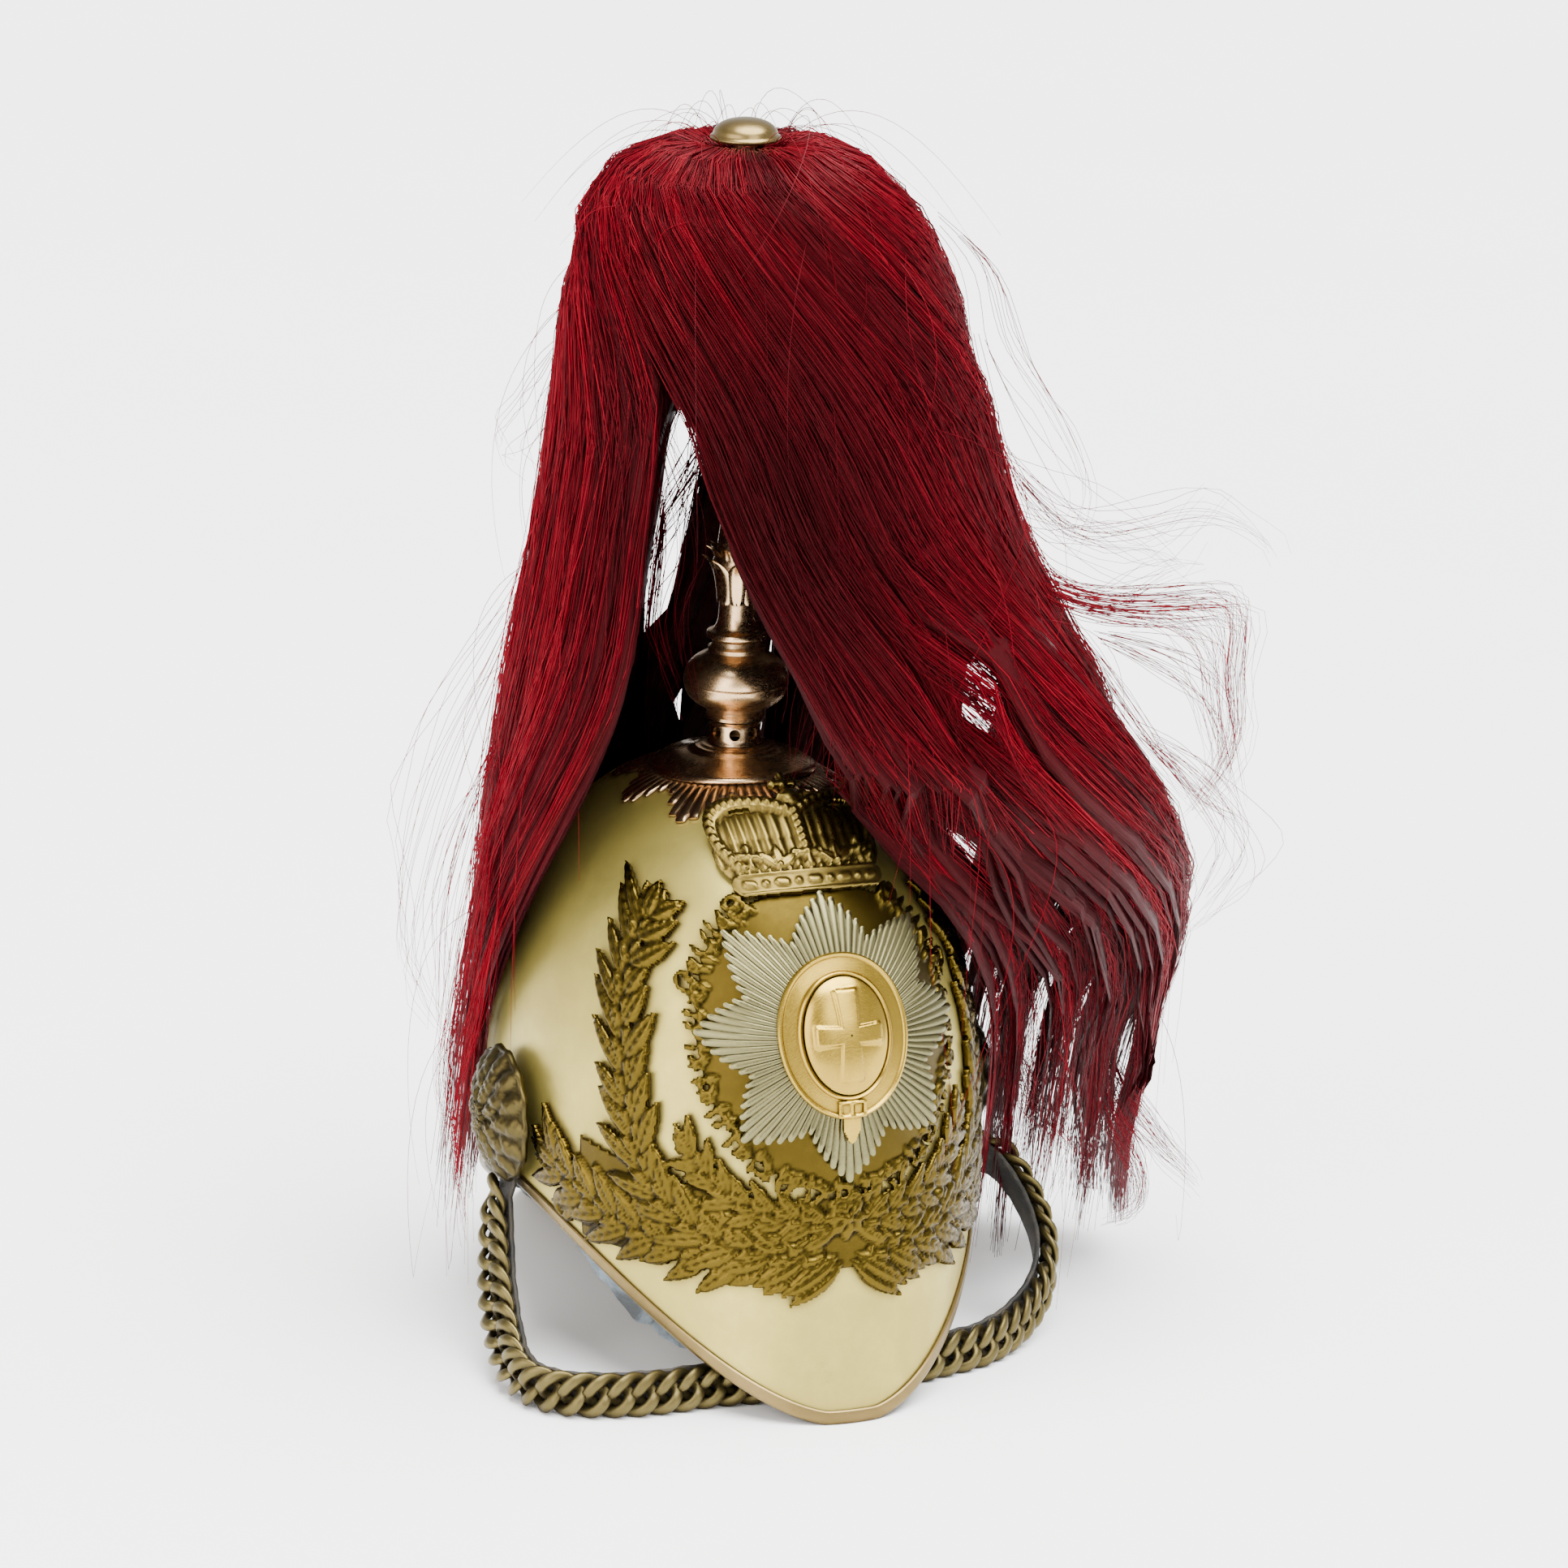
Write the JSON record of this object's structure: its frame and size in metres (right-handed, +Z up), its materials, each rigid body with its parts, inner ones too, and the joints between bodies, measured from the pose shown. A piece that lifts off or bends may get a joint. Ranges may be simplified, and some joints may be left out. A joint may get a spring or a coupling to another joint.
{
  "type": "plumed cavalry helmet",
  "caption": "Metal cavalry helmet with peak and neck guard, raised gilt front plate with star and crown, spiked top with a falling horsehair plume, and a leather-backed chin chain.",
  "frame": {"origin": "middle of the whole helmet's box in plan, at the level of the feet it rests on", "axes": "+Z up; the wearer looks along -Y and the wearer's right is -X"},
  "size_m": [0.313, 0.316, 0.4798],
  "materials": {
    "skull_metal": "pale white metal, hand polished, with fine wear and tarnish",
    "brass": "polished, with darker tarnish in the hollows",
    "gilt": "gilt, satin, worn on the raised parts",
    "silver": "silvered, satin",
    "aged_brass": "dark, aged",
    "leather": "black, creased, worn at the edges",
    "hair": "dyed crimson horsehair"
  },
  "bodies": {
    "root": {"skull": "skull_metal", "rim_binding": "brass", "base_star": "brass", "base_dome": "brass", "vent_collar": "brass", "ball": "brass", "leaf_socket": "brass", "plume_stem": "brass", "plume_boss": "brass", "wreath_plate": "gilt", "plate_star": "silver", "plate_belt": "gilt", "plate_oval": "gilt", "plate_crown": "gilt", "rosette_right": "aged_brass", "rosette_left": "aged_brass", "chin_chain": "aged_brass", "chin_strap": "leather", "lining": "leather", "plume": "hair"}
  },
  "joints": []
}
